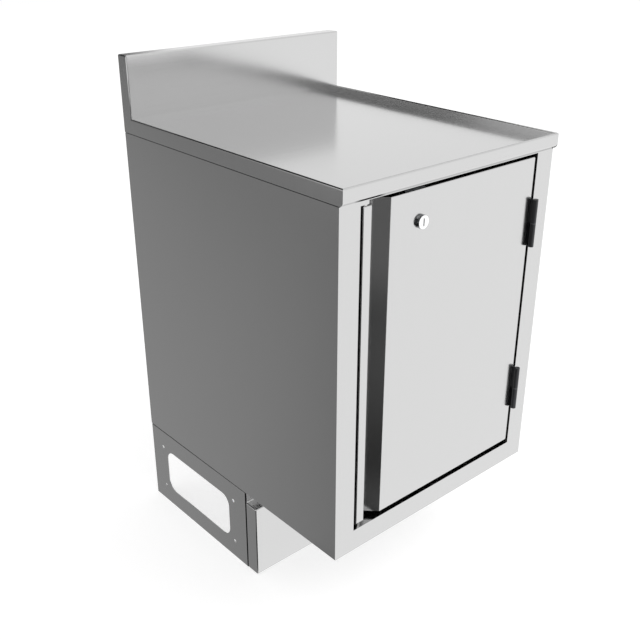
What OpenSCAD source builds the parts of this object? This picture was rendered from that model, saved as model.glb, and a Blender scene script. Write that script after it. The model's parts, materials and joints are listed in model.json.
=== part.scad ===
// Underbar storage cabinet of folded stainless sheet: a body with one inset door on exposed barrel
// hinges, a sunken worktop with a raised rim and a backsplash, all carried on a set-back plumbing
// base with a kick panel.
// Places are worked out with x from the left end of the top, y back from the front of the fascia
// and z up from the floor. placed() then centres them over the middle of the footprint.

/* [Worktop and backsplash] */
// Overall width of the top
top_w = 457; // [420:1:620]
// Depth from the front of the fascia to the back
top_d = 538.5; // [500:0.5:640]
// Height of the raised rim above the floor
work_h = 756; // [700:1:900]
// Depth of the sunken worktop below the rim
pan_drop = 12.7; // [8:0.1:18]
// Width of the folded rim
rim_w = 4; // [3:0.5:6]
// Height of the front fascia below the rim
fascia_h = 20.8; // [16:0.1:23]
// Height of a side skirt below the rim
skirt_h = 24.8; // [24.5:0.1:40]
// Slit between a side skirt and the cabinet body
skirt_seam = 0.6; // [0.4:0.1:2]
// Length of the chamfer at the lower front corner of a side skirt
skirt_chamfer = 5; // [2:0.5:12]
// Height of the backsplash above the rim
splash_h = 101.7; // [50:0.1:160]
// Thickness of the backsplash
splash_t = 25.2; // [12:0.1:50]
// Width of a stiffening channel under the worktop
channel_w = 50; // [30:1:80]
// Width of each foot flange of a stiffening channel
channel_foot = 10; // [6:1:15]
// Distance of the front channel from the face of the body
channel_setback = 55; // [50:1:90]

/* [Body] */
// Thickness of every folded sheet
sheet = 1.2; // [0.9:0.1:1.5]
// Height of the base, from the floor to the underside of the body
base_h = 161.2; // [120:0.1:200]
// Distance of the body's sides inside the ends of the top
body_inset = 0.5; // [0.2:0.1:2]
// Distance of the body's face behind the front of the fascia
front_overhang = 7.3; // [6.5:0.1:12]
// Width of the two stiles of the face frame
stile_w = 38.2; // [30:0.1:50]
// Height of the bottom rail of the face frame
bottom_rail_h = 38.1; // [30:0.1:60]
// Distance of the opening's top edge below the top of the body's sides
top_rail_h = 1.3; // [1.3:0.1:6]
// Width of the corner tab at the opening's top left
tab_w = 15.5; // [8:0.5:25]
// Height of the corner tab
tab_h = 5.5; // [3:0.5:7]
// Width of the stop flange behind the stile on the pull side
stop_w = 14; // [12:1:20]
// Height of the stiffening flange behind the bottom rail
rail_flange_h = 20; // [10:1:30]
// Width of the flange under the worktop on each side panel
top_flange_w = 15; // [10:1:18]
// Height of the upturned flanges of the cabinet floor
floor_flange_h = 20; // [12:1:30]
// Width of the flanges of the back panel
back_flange_w = 12; // [8:1:20]

/* [Shelf] */
// Height of the shelf's underside above the first slot of the standards, in slots
shelf_slot = 9; // [5:1:12]
// Slots in each shelf standard
standard_slots = 19; // [14:1:19]
// Distance between the slots of a standard
slot_pitch = 25; // [20:1:26]
// Height of the lowest slot above the cabinet floor
first_slot_z = 40; // [30:1:60]
// Height of a slot
slot_h = 3.5; // [2.5:0.1:4]
// Width of a slot
slot_w = 10; // [8:0.5:11]
// Width of a shelf standard
standard_w = 16; // [15:0.5:22]
// Depth of a shelf standard off the side panel
standard_t = 5; // [4:0.5:8]
// Margin of a standard above and below its slots
standard_end = 20; // [12:1:24]
// Distance of the front standards behind the face of the body
standard_front = 85; // [70:1:120]
// Distance of the rear standards in front of the back
standard_rear = 60; // [45:1:90]
// Length of the ledge of a shelf clip
clip_ledge = 16; // [10:1:20]
// Height of a shelf clip's leg below its ledge
clip_leg = 16; // [10:1:18]
// Thickness of a shelf clip
clip_t = 1.5; // [1:0.1:2]
// Gap on each side between the shelf and the standards
shelf_clear = 2; // [1:0.5:4]
// Distance of the shelf's front edge behind the face of the body
shelf_setback = 60; // [50:1:65]
// Gap between the shelf and the back panel
shelf_back_gap = 10; // [5:1:20]
// Height of the turned-down edges of the shelf
shelf_edge_h = 25; // [22:1:30]

/* [Base and kick panel] */
// Depth of the base side panels, measured from the back
base_d = 301.3; // [250:0.1:330]
// Width of the inward flanges of a base side panel
base_flange = 25; // [22:1:35]
// Length of the cut-out in a base side panel
cutout_l = 199.5; // [120:0.5:215]
// Height of the cut-out
cutout_h = 87; // [50:0.5:95]
// Corner radius of the cut-out
cutout_r = 20; // [8:1:24]
// Spacing of the small holes along the base
hole_span_y = 227; // [222:0.5:240]
// Spacing of the small holes in height
hole_span_z = 88.5; // [80:0.5:100]
// Diameter of the small holes
hole_d = 6.5; // [4:0.5:8]
// Height of the rails that join the two base sides
base_rail_h = 34; // [20:1:40]
// Lap of a base rail on the end flange of each base side panel
base_rail_lap = 8; // [5:1:15]
// Width of the fold along the top of a base rail
base_rail_fold = 18; // [10:1:30]
// Distance of the kick panel's face in front of the base side panels
kick_reach = 28.6; // [22:0.1:40]
// Depth of the kick panel's side returns
kick_return = 26.2; // [15:0.1:27]
// Height of the kick panel
kick_h = 138; // [100:0.5:146]
// Gap between the kick panel and the floor
kick_lift = 3.2; // [1:0.1:8]
// Height of a kick bracket
kick_bracket_h = 90; // [60:1:100]
// Height of a kick bracket above the floor
kick_bracket_z = 22; // [10:1:30]
// Gap between a kick bracket and the face of the kick panel
kick_bracket_gap = 3; // [1:0.5:6]
// Thickness of a kick bracket
kick_bracket_t = 2; // [1.5:0.1:3]
// Width of a kick bracket's leg on the base flange
kick_bracket_w = 22; // [20:1:25]

/* [Door] */
// Thickness of the door
door_t = 25; // [22:0.5:30]
// Gap between the door and each stile
door_gap = 5.2; // [4.6:0.1:7]
// Gap under the door
door_gap_bottom = 8.7; // [3:0.1:10]
// Gap above the door
door_gap_top = 5; // [4:0.1:8]
// Corner radius of the door's face on the hinge side
door_corner_r = 3; // [1.5:0.5:6]
// Width of the lip of the pull
lip_w = 16; // [10:0.5:24]
// Thickness of the folded lip
lip_t = 3; // [2.6:0.1:4]
// Width of the mouth of the pull, from the lip to the door's face
pull_mouth = 35.6; // [28:0.1:50]
// Distance of the lip's top below the top of the door
lip_drop = 2.8; // [2.6:0.1:6]
// Distance of the lip's foot above the bottom of the door
lip_lift = 0.5; // [0.4:0.1:6]
// Width of the flange that joins the pull channel to the door's skin
channel_lap = 12; // [6:1:20]
// Width of the flanges of the door stiffener
stiffener_flange = 25; // [15:1:40]
// Width of the turned-in edges of the door's liner
liner_flange = 12; // [8:1:18]
// Radius of a door bumper
bumper_r = 4; // [3:0.5:5]
// Thickness of a door bumper
bumper_t = 3; // [2:0.5:5]
// Distance of a bumper from the edge of the door at the pull
bumper_margin = 0.5; // [0.2:0.1:2]
// Distance of the bumpers from the top and bottom of the door
bumper_inset = 40; // [20:1:120]

/* [Hinges] */
// Height of a hinge
hinge_h = 79; // [60:1:100]
// Distance of the hinges from the top and bottom of the door
hinge_inset = 68; // [30:0.5:120]
// Radius of a hinge barrel
barrel_r = 4.5; // [4:0.1:5]
// Gap between a barrel and the plane of the face
barrel_clear = 1.9; // [1:0.1:4]
// Radius of a hinge pin
pin_r = 2.5; // [1.5:0.1:3]
// Thickness of a hinge leaf
leaf_t = 2; // [1.5:0.1:2.1]
// Width of a hinge leaf behind the plane of the face
leaf_w = 22; // [18:0.5:22]
// Solid end of each barrel past the pin
barrel_end = 3; // [1.5:0.5:5]
// Thickness of the washer between the two barrels
washer_t = 1; // [0.5:0.1:2]
// Diameter of a hinge screw
screw_d = 4; // [3:0.1:5]
// Diameter of a hinge screw's head
screw_head_d = 8; // [6.5:0.1:9]
// Distance of the outer screws from the ends of a hinge
screw_inset = 13; // [8:0.5:20]
// Straight length of a screw's hole past its countersink
sink_land = 0.2; // [0.1:0.05:0.5]
// Thickness of the tapped backing plate behind each leaf
backer_t = 2.5; // [1.5:0.1:4]

/* [Lock] */
// Distance of the lock from the edge of the door's face at the pull
lock_from_edge = 61.5; // [30:0.5:120]
// Distance of the lock below the top of the door
lock_from_top = 47.7; // [40:0.1:60]
// Radius of the lock's head
lock_head_r = 10.4; // [9.5:0.1:13]
// Distance that the head stands out of the door
lock_head_t = 5.4; // [3:0.1:10]
// Width of the bevel round the head
lock_bevel = 0.5; // [0.3:0.1:2]
// Radius of the threaded barrel
lock_barrel_r = 8; // [7.6:0.1:9]
// Radius of the turning plug
lock_plug_r = 6.5; // [6:0.1:7]
// Height of the key slot
key_slot_h = 11; // [6:0.5:11.5]
// Width of the key slot
key_slot_w = 1.8; // [1:0.1:2.5]
// Depth of the key slot
key_slot_depth = 22; // [10:1:25]
// Thickness of the lock's nut
lock_nut_t = 4; // [2.5:0.1:6]
// Width of the nut across its corners
lock_nut_d = 25; // [20:0.5:30]
// Length of the threaded barrel past its nut
lock_barrel_end = 1; // [0.5:0.1:3]
// Length of the cam from the lock's centre to its tip
cam_len = 44; // [42:0.5:50]
// Width of the cam
cam_w = 16; // [12:0.5:18]
// Thickness of the cam
cam_t = 2.5; // [1.5:0.1:4]
// Gap between the cam and the strike
cam_gap = 0.8; // [0.5:0.1:1.5]
// Radius of the cam's screw
cam_screw_r = 1.5; // [1:0.1:2]
// Depth of the screw's hole in the plug
cam_screw_depth = 10; // [6:0.5:12]
// Radius of the screw's head
cam_screw_head_r = 6; // [4:0.5:7.5]
// Thickness of the screw's head
cam_screw_head_t = 2; // [1:0.1:3]
// Side of the square tail that drives the cam
cam_square = 7; // [5:0.1:8]
// Drop of the strike below the top rail
strike_h = 16; // [13:0.5:18]
// Width of the strike
strike_w = 40; // [20:1:60]
// Depth of the strike's welded flange
strike_flange = 15; // [8:1:20]
// Thickness of the strike
strike_t = 2; // [1.5:0.1:3]

/* [Fasteners and clearances] */
// Diameter of the bolts between the body and the base
bolt_d = 6; // [5:0.5:7]
// Width of their heads and nuts across the corners
bolt_head_d = 11.5; // [11:0.5:14]
// Thickness of their heads
bolt_head_t = 4; // [3:0.1:5.5]
// Thickness of their nuts
bolt_nut_t = 5; // [4:0.1:6.5]
// Length of thread past a nut
thread_end = 2; // [0.5:0.5:4]
// Distance of those bolts from the ends of the base
bolt_inset = 40; // [25:1:60]
// Diameter of the kick bracket screws
kick_screw_d = 5; // [4:0.5:6]
// Diameter of their heads
kick_screw_head_d = 9; // [8:0.5:11]
// Thickness of their heads
kick_screw_head_t = 3; // [2:0.1:4]
// Width of their nuts across the corners
kick_nut_d = 9.5; // [9:0.5:11]
// Thickness of their nuts
kick_nut_t = 4; // [3:0.1:5]
// Radial play of a shaft that turns
running_gap = 0.05; // [0.03:0.01:0.08]
// Radial play of a bolt or screw in its hole
bolt_gap = 0.2; // [0.1:0.05:0.4]
// Gap that keeps two pieces from rubbing
face_gap = 0.3; // [0.2:0.05:0.5]

/* [Hidden] */

// Colours
steel = [0.80, 0.81, 0.81];
dark_steel = [0.22, 0.23, 0.23];
chrome = [0.86, 0.87, 0.88];
zinc = [0.70, 0.71, 0.69];
rubber = [0.12, 0.12, 0.12];

// Levels and faces of the body
body_x0 = body_inset;
body_x1 = top_w - body_inset;
face_y = front_overhang;
back_y = top_d;
pan_z = work_h - pan_drop;
pan_under = pan_z - sheet;
skirt_z = work_h - skirt_h;
body_top = skirt_z - skirt_seam;
fascia_z = work_h - fascia_h;
splash_y = top_d - splash_t;
splash_z = work_h + splash_h;
inner_x0 = body_x0 + sheet;
inner_x1 = body_x1 - sheet;
inner_y0 = face_y + sheet;
inner_y1 = back_y - sheet;
flange_y = [inner_y0, inner_y1 - back_flange_w - face_gap];

// Opening of the face frame
open_x0 = body_x0 + stile_w;
open_x1 = body_x1 - stile_w;
open_z0 = base_h + bottom_rail_h;
open_z1 = body_top - top_rail_h;

// Door, its pull and its stops
door_x0 = open_x0 + door_gap;
door_x1 = open_x1 - door_gap;
door_z0 = open_z0 + door_gap_bottom;
door_z1 = open_z1 - door_gap_top;
door_y1 = face_y + door_t;
lip_x1 = door_x0 + lip_w;
skin_x0 = lip_x1 + pull_mouth;
pull_depth = door_t - 2 * sheet;
slant_x = skin_x0 - pull_depth;
pull_y = face_y + pull_depth;
pull_z0 = door_z0 + lip_lift;
pull_z1 = door_z1 - lip_drop;
lap_z0 = max(pull_z0, door_z0 + sheet);
stop_y = door_y1 + bumper_t + face_gap;

// Hinges
axis_x = (door_x1 + open_x1) / 2;
axis_y = face_y - barrel_clear - barrel_r;
hinge_z_upper = door_z1 - hinge_inset - hinge_h;
hinge_z_lower = door_z0 + hinge_inset;
half_h = (hinge_h - washer_t) / 2;
screw_y = face_y + leaf_w / 2 + sheet;

// Lock
lock_x = skin_x0 + lock_from_edge;
lock_z = door_z1 - lock_from_top;
lock_y0 = face_y - lock_head_t;
lock_y1 = door_y1 + lock_nut_t + lock_barrel_end;
cam_y = lock_y1 + face_gap;
cam_y1 = cam_y + cam_t;
strike_y = cam_y - cam_gap - strike_t;

// Base
base_y = back_y - base_d;
kick_y = base_y - kick_reach;
base_mid_y = (base_y + back_y) / 2;
base_rail_z = base_h - sheet - base_rail_h;
bolt_x = base_flange / 2 + 1;
bolt_ys = [base_y + bolt_inset, back_y - bolt_inset];
kick_screw_x = kick_bracket_w / 2 + 2;
kick_screw_zs = [kick_bracket_z + kick_bracket_h / 4, kick_bracket_z + kick_bracket_h * 3 / 4];

// Shelf
standard_ys = [face_y + standard_front, back_y - standard_rear - standard_w];
standard_z0 = base_h + sheet + first_slot_z - standard_end;
standard_z1 = standard_z0 + 2 * standard_end + (standard_slots - 1) * slot_pitch + slot_h;
clip_z = base_h + sheet + first_slot_z + shelf_slot * slot_pitch;
shelf_z = clip_z + clip_t;
standard_face = inner_x0 + standard_t;

// The front of the hinge barrels or of the lock, whichever stands out further, starts the footprint
front_y = min(0, axis_y - barrel_r, lock_y0);
mid_y = (front_y + back_y) / 2;

// Common shapes
module placed() {
    translate([-top_w / 2, -mid_y, 0]) children();
}

// A block from its ranges along x, y and z
module slab(x, y, z) {
    translate([x[0], y[0], z[0]]) cube([x[1] - x[0], y[1] - y[0], z[1] - z[0]]);
}

// A block and its mirror image on the other side of the cabinet
module slab_pair(x, y, z) {
    slab(x, y, z);
    slab([top_w - x[1], top_w - x[0]], y, z);
}

// The same piece on the right side of the cabinet
module mirrored() {
    translate([top_w, 0, 0]) mirror([1, 0, 0]) children();
}

// A flat shape drawn in y and z, thick along x
module plate_yz(x, t) {
    translate([x, 0, 0]) rotate([90, 0, 90]) linear_extrude(t) children();
}

// A flat shape drawn in x and z, thick along y
module plate_xz(y, t) {
    translate([0, y + t, 0]) rotate([90, 0, 0]) linear_extrude(t) children();
}

// A round bar along x, y or z
module bar_x(p, r, l) {
    translate(p) rotate([0, 90, 0]) cylinder(r = r, h = l, $fn = 48);
}

module bar_y(p, r, l) {
    translate(p) rotate([-90, 0, 0]) cylinder(r = r, h = l, $fn = 64);
}

module bar_z(p, r, l) {
    translate(p) cylinder(r = r, h = l, $fn = 48);
}

// A rectangle with rounded corners, centred
module rounded_rect(w, h, r) {
    square([w - 2 * r, h], center = true);
    square([w, h - 2 * r], center = true);
    for (sx = [-1, 1])
        for (sy = [-1, 1])
            translate([sx * (w / 2 - r), sy * (h / 2 - r)]) circle(r, $fn = 64);
}

// Worktop: the sunken pan, the folded rim on three sides, the side skirts and the fascia
module side_skirt() {
    plate_yz(0, sheet) polygon([
        [0, work_h], [splash_y, work_h], [splash_y, skirt_z], [skirt_chamfer, skirt_z], [0, fascia_z]
    ]);
}

module worktop() color(steel) placed() {
    pan_x = [rim_w - sheet, top_w - rim_w + sheet];
    slab(pan_x, [rim_w - sheet, back_y - sheet], [pan_under, pan_z]);
    slab_pair([rim_w - sheet, rim_w], [rim_w - sheet, splash_y], [pan_under, work_h]);
    slab(pan_x, [rim_w - sheet, rim_w], [pan_under, work_h]);
    slab_pair([0, rim_w], [0, splash_y], [work_h - sheet, work_h]);
    slab([0, top_w], [0, rim_w], [work_h - sheet, work_h]);
    slab([0, top_w], [0, sheet], [fascia_z, work_h]);
    side_skirt();
    mirrored() side_skirt();
}

// Backsplash: one sheet folded over, closed by a cap at each end
module backsplash() color(steel) placed() {
    x = [sheet, top_w - sheet];
    slab(x, [splash_y, splash_y + sheet], [pan_z, splash_z]);
    slab(x, [splash_y, back_y], [splash_z - sheet, splash_z]);
    slab(x, [back_y - sheet, back_y], [body_top, splash_z]);
}

module splash_cap() {
    slab([0, sheet], [splash_y, back_y], [skirt_z, splash_z]);
}

module splash_cap_left() color(steel) placed() splash_cap();

module splash_cap_right() color(steel) placed() mirrored() splash_cap();

// Hat channels welded under the worktop, whose crowns rest on the flanges of the side panels
module hat_channel(y) {
    x = [rim_w, top_w - rim_w];
    slab(x, [y, y + channel_w], [body_top, body_top + sheet]);
    slab(x, [y, y + sheet], [body_top, pan_under]);
    slab(x, [y + channel_w - sheet, y + channel_w], [body_top, pan_under]);
    slab(x, [y - channel_foot, y + sheet], [pan_under - sheet, pan_under]);
    slab(x, [y + channel_w - sheet, y + channel_w + channel_foot], [pan_under - sheet, pan_under]);
}

module worktop_channel_front() color(steel) placed() hat_channel(face_y + channel_setback);

module worktop_channel_rear() color(steel) placed() {
    hat_channel(splash_y - channel_w - channel_foot - back_flange_w);
}

// Side panels, each with a flange under the worktop
module side_panel() {
    slab([body_x0, inner_x0], [inner_y0, inner_y1], [base_h, body_top]);
    slab([body_x0, body_x0 + top_flange_w], flange_y, [body_top - sheet, body_top]);
}

module side_panel_left() color(steel) placed() side_panel();

module side_panel_right() color(steel) placed() mirrored() side_panel();

module back_panel() color(steel) placed() {
    slab([body_x0, body_x1], [inner_y1, back_y], [base_h, body_top]);
    slab_pair(
        [inner_x0, inner_x0 + sheet],
        [inner_y1 - back_flange_w, inner_y1],
        [base_h + sheet, body_top]
    );
}

module cabinet_floor() color(steel) placed() difference() {
    slab([inner_x0, inner_x1], [inner_y0, inner_y1], [base_h, base_h + sheet]);
    for (x = [bolt_x, top_w - bolt_x])
        for (y = bolt_ys)
            bar_z([x, y, base_h - 1], bolt_d / 2 + bolt_gap, sheet + 2);
}

// The floor's turned-up side edges, spot-welded to the side panels
module floor_upstand() {
    slab([inner_x0, inner_x0 + sheet], flange_y, [base_h + sheet, base_h + floor_flange_h]);
}

module floor_upstand_left() color(steel) placed() floor_upstand();

module floor_upstand_right() color(steel) placed() mirrored() floor_upstand();

// Face frame: two stiles and two rails, folded back round the opening
module stile_face_and_return() {
    slab([body_x0, open_x0], [face_y, face_y + sheet], [base_h, body_top]);
    slab([open_x0 - sheet, open_x0], [face_y, stop_y + sheet], [base_h + sheet, body_top]);
}

module stile_left() color(steel) placed() {
    stile_face_and_return();
    slab([open_x0 - sheet, open_x0 + stop_w], [stop_y, stop_y + sheet], [open_z0, open_z1]);
}

module stile_right() color(steel) placed() difference() {
    union() {
        mirrored() stile_face_and_return();
        slab([open_x1, open_x1 + stop_w], [stop_y, stop_y + sheet], [base_h + floor_flange_h, body_top]);
    }
    hinge_screw_places() bar_x([open_x1 - 1, screw_y, 0], screw_d / 2 + bolt_gap, sheet + 2);
}

module top_rail() color(steel) placed() {
    x = sheet + face_gap;
    slab([open_x0, open_x1], [face_y, face_y + sheet], [open_z1, body_top]);
    slab([x, top_w - x], [face_y, face_y + sheet], [body_top, pan_under]);
    slab([open_x0, open_x1], [face_y, stop_y + sheet], [open_z1, open_z1 + sheet]);
    slab([open_x0, open_x0 + tab_w], [face_y, face_y + sheet], [open_z1 - tab_h, open_z1 + sheet]);
}

module bottom_rail() color(steel) placed() {
    slab([open_x0, open_x1], [face_y, face_y + sheet], [base_h, open_z0]);
    slab([open_x0, open_x1], [face_y, stop_y + sheet], [open_z0 - sheet, open_z0]);
    slab([open_x0, open_x1], [stop_y, stop_y + sheet], [open_z0 - rail_flange_h, open_z0]);
}

// Shelf, its slotted standards and the clips that hook into them
module shelf_standard(y) {
    difference() {
        slab([inner_x0, standard_face], [y, y + standard_w], [standard_z0, standard_z1]);
        slab(
            [inner_x0 - 1, standard_face - sheet],
            [y + sheet, y + standard_w - sheet],
            [standard_z0 - 1, standard_z1 + 1]
        );
        for (i = [0 : standard_slots - 1])
            slab(
                [standard_face - 2 * sheet, standard_face + 1],
                [y + (standard_w - slot_w) / 2, y + (standard_w + slot_w) / 2],
                [0, slot_h] + [1, 1] * (base_h + sheet + first_slot_z + i * slot_pitch)
            );
    }
}

module shelf_standard_left_front() color(zinc) placed() shelf_standard(standard_ys[0]);

module shelf_standard_left_rear() color(zinc) placed() shelf_standard(standard_ys[1]);

module shelf_standard_right_front() color(zinc) placed() mirrored() shelf_standard(standard_ys[0]);

module shelf_standard_right_rear() color(zinc) placed() mirrored() shelf_standard(standard_ys[1]);

module shelf_clip(y) {
    w = slot_w - 2 * face_gap;
    y0 = y + (standard_w - w) / 2;
    slab(
        [standard_face - sheet - 1, standard_face + clip_ledge],
        [y0, y0 + w],
        [clip_z, clip_z + clip_t]
    );
    slab([standard_face, standard_face + clip_t], [y0, y0 + w], [clip_z - clip_leg, clip_z + clip_t]);
}

module shelf_clips() color(zinc) placed() {
    for (y = standard_ys) {
        shelf_clip(y);
        mirrored() shelf_clip(y);
    }
}

module shelf() color(steel) placed() {
    x = [standard_face + shelf_clear, top_w - standard_face - shelf_clear];
    y = [face_y + shelf_setback, inner_y1 - shelf_back_gap];
    slab(x, y, [shelf_z, shelf_z + sheet]);
    slab(x, [y[0], y[0] + sheet], [shelf_z + sheet - shelf_edge_h, shelf_z + sheet]);
    slab(x, [y[1] - sheet, y[1]], [shelf_z + sheet - shelf_edge_h, shelf_z + sheet]);
}

// Base: two flanged side panels with a service cut-out, joined by two rails
module base_side() {
    difference() {
        union() {
            slab([body_x0, inner_x0], [base_y, back_y], [0, base_h]);
            for (z = [0, base_h - sheet])
                slab([body_x0, body_x0 + base_flange], [base_y, back_y], [z, z + sheet]);
            for (y = [base_y, back_y - sheet])
                slab([body_x0, body_x0 + base_flange], [y, y + sheet], [0, base_h]);
        }
        plate_yz(body_x0 - 1, sheet + 2)
            translate([base_mid_y, base_h / 2]) rounded_rect(cutout_l, cutout_h, cutout_r);
        for (sy = [-1, 1])
            for (sz = [-1, 1])
                bar_x(
                    [body_x0 - 1, base_mid_y + sy * hole_span_y / 2, base_h / 2 + sz * hole_span_z / 2],
                    hole_d / 2, sheet + 2
                );
        for (y = bolt_ys)
            bar_z([bolt_x, y, base_h - sheet - 1], bolt_d / 2 + bolt_gap, sheet + 2);
        for (z = kick_screw_zs)
            bar_y([kick_screw_x, base_y - 1, z], kick_screw_d / 2 + bolt_gap, sheet + 2);
    }
}

module base_side_left() color(steel) placed() base_side();

module base_side_right() color(steel) placed() mirrored() base_side();

// A rail between the base sides, folded back at its top, its face on the sides' end flanges
module base_rail(y_face, y_fold) {
    x = body_x0 + base_flange;
    slab([x - base_rail_lap, top_w - x + base_rail_lap], y_face, [base_rail_z, base_h - sheet]);
    slab([x, top_w - x], y_fold, [base_h - 2 * sheet, base_h - sheet]);
}

module base_rail_front() color(steel) placed() {
    y = base_y + sheet;
    base_rail([y, y + sheet], [y, y + base_rail_fold]);
}

module base_rail_rear() color(steel) placed() {
    y = back_y - sheet;
    base_rail([y - sheet, y], [y - base_rail_fold, y]);
}

// Kick panel: a tray whose sides and top turn back, on two brackets screwed to the base
module kick_panel() color(steel) placed() {
    z = [kick_lift, kick_lift + kick_h];
    slab([body_x0, body_x1], [kick_y, kick_y + sheet], z);
    slab_pair([body_x0, inner_x0], [kick_y, kick_y + kick_return], z);
    slab([body_x0, body_x1], [kick_y, kick_y + kick_return], [z[1] - sheet, z[1]]);
}

module kick_bracket() {
    z = [kick_bracket_z, kick_bracket_z + kick_bracket_h];
    slab([inner_x0, inner_x0 + kick_bracket_t], [kick_y + sheet + kick_bracket_gap, base_y], z);
    difference() {
        slab([inner_x0, inner_x0 + kick_bracket_w], [base_y - kick_bracket_t, base_y], z);
        for (z = kick_screw_zs)
            bar_y(
                [kick_screw_x, base_y - kick_bracket_t - 1, z],
                kick_screw_d / 2 + bolt_gap, kick_bracket_t + 2
            );
    }
}

module kick_bracket_left() color(steel) placed() kick_bracket();

module kick_bracket_right() color(steel) placed() mirrored() kick_bracket();

// Fasteners of the base
module base_bolt_places() {
    for (x = [bolt_x, top_w - bolt_x])
        for (y = bolt_ys)
            translate([x, y, 0]) children();
}

module base_bolts() color(zinc) placed() base_bolt_places() {
    translate([0, 0, base_h + sheet]) cylinder(d = bolt_head_d, h = bolt_head_t, $fn = 6);
    z0 = base_h - sheet - bolt_nut_t - thread_end;
    bar_z([0, 0, z0], bolt_d / 2, base_h + sheet + 1 - z0);
}

module base_nuts() color(zinc) placed() base_bolt_places() {
    translate([0, 0, base_h - sheet - bolt_nut_t]) difference() {
        cylinder(d = bolt_head_d, h = bolt_nut_t, $fn = 6);
        bar_z([0, 0, -1], bolt_d / 2 + running_gap, bolt_nut_t + 2);
    }
}

module kick_screw_places() {
    for (x = [kick_screw_x, top_w - kick_screw_x])
        for (z = kick_screw_zs)
            translate([x, base_y, z]) children();
}

module kick_screws() color(zinc) placed() kick_screw_places() {
    bar_y([0, -kick_bracket_t - kick_screw_head_t, 0], kick_screw_head_d / 2, kick_screw_head_t);
    bar_y(
        [0, -kick_bracket_t - 1, 0],
        kick_screw_d / 2, kick_bracket_t + 1 + sheet + kick_nut_t + thread_end
    );
}

module kick_nuts() color(zinc) placed() kick_screw_places() difference() {
    translate([0, sheet, 0]) rotate([-90, 0, 0]) cylinder(d = kick_nut_d, h = kick_nut_t, $fn = 6);
    bar_y([0, 0, 0], kick_screw_d / 2 + running_gap, kick_nut_t * 2);
}

// Strike for the lock's cam, welded under the top rail's return
module lock_strike() color(zinc) placed() {
    x = [lock_x - strike_w / 2, lock_x + strike_w / 2];
    slab(x, [strike_y, strike_y + strike_t], [open_z1 - strike_h, open_z1]);
    slab(x, [strike_y + strike_t - strike_flange, strike_y + strike_t], [open_z1 - strike_t, open_z1]);
}

// Rubber bumpers on the stop flange
module door_bumpers() color(rubber) placed() {
    for (z = [door_z0 + bumper_inset, door_z1 - bumper_inset])
        bar_y([door_x0 + bumper_margin + bumper_r, stop_y - bumper_t, z], bumper_r, bumper_t);
}

// Hinges: a leaf in the door gap, an arm out of the gap and half of the barrel
module hinge_screw_places() {
    for (z0 = [hinge_z_upper, hinge_z_lower])
        for (dz = [screw_inset, hinge_h / 2, hinge_h - screw_inset])
            translate([0, 0, z0 + dz]) children();
}

module leaf_holes(x_face, into) {
    for (dz = [screw_inset, hinge_h / 2, hinge_h - screw_inset])
        translate([x_face, screw_y, dz]) rotate([0, into * 90, 0]) {
            translate([0, 0, -1]) cylinder(r = screw_d / 2 + bolt_gap, h = leaf_t + 2, $fn = 48);
            cylinder(
                r1 = screw_head_d / 2, r2 = screw_d / 2 + bolt_gap, h = leaf_t - sink_land, $fn = 48
            );
        }
}

module frame_leaf(z0) {
    translate([0, 0, z0]) difference() {
        union() {
            slab([open_x1 - leaf_t, open_x1], [face_y, face_y + leaf_w], [0, hinge_h]);
            slab([open_x1 - leaf_t, open_x1], [axis_y, face_y + 1], [0, half_h]);
            bar_z([axis_x, axis_y, 0], barrel_r, half_h);
        }
        bar_z([axis_x, axis_y, barrel_end], pin_r + running_gap, hinge_h);
        leaf_holes(open_x1 - leaf_t, 1);
    }
}

module hinge_upper_frame_leaf() color(dark_steel) placed() frame_leaf(hinge_z_upper);

module hinge_lower_frame_leaf() color(dark_steel) placed() frame_leaf(hinge_z_lower);

module door_leaf(z0) {
    translate([0, 0, z0]) difference() {
        union() {
            slab([door_x1, door_x1 + leaf_t], [face_y, face_y + leaf_w], [0, hinge_h]);
            slab([door_x1, door_x1 + leaf_t], [axis_y, face_y + 1], [half_h + washer_t, hinge_h]);
            bar_z([axis_x, axis_y, half_h + washer_t], barrel_r, half_h);
        }
        bar_z([axis_x, axis_y, 0], pin_r + running_gap, hinge_h - barrel_end);
        leaf_holes(door_x1 + leaf_t, -1);
    }
}

module hinge_upper_door_leaf() color(dark_steel) placed() door_leaf(hinge_z_upper);

module hinge_lower_door_leaf() color(dark_steel) placed() door_leaf(hinge_z_lower);

module hinge_pin(z0) {
    bar_z([axis_x, axis_y, z0 + barrel_end], pin_r, hinge_h - 2 * barrel_end - face_gap);
}

module hinge_upper_pin() color(zinc) placed() hinge_pin(hinge_z_upper);

module hinge_lower_pin() color(zinc) placed() hinge_pin(hinge_z_lower);

module hinge_washer(z0) {
    difference() {
        bar_z([axis_x, axis_y, z0 + half_h], barrel_r, washer_t);
        bar_z([axis_x, axis_y, z0 + half_h - 1], pin_r + running_gap, washer_t + 2);
    }
}

module hinge_upper_washer() color(chrome) placed() hinge_washer(hinge_z_upper);

module hinge_lower_washer() color(chrome) placed() hinge_washer(hinge_z_lower);

// A countersunk screw whose flat face is at x = 0 and whose shank runs towards +x
module countersunk_screw() {
    rotate([0, 90, 0]) {
        cylinder(
            r1 = screw_head_d / 2 - bolt_gap, r2 = screw_d / 2, h = leaf_t - sink_land - bolt_gap, $fn = 48
        );
        cylinder(d = screw_d, h = leaf_t + sheet + backer_t + 1, $fn = 48);
    }
}

module hinge_screws_frame() color(zinc) placed() hinge_screw_places() {
    translate([open_x1 - leaf_t, screw_y, 0]) countersunk_screw();
}

module hinge_screws_door() color(zinc) placed() hinge_screw_places() {
    translate([door_x1 + leaf_t, screw_y, 0]) mirror([1, 0, 0]) countersunk_screw();
}

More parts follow.
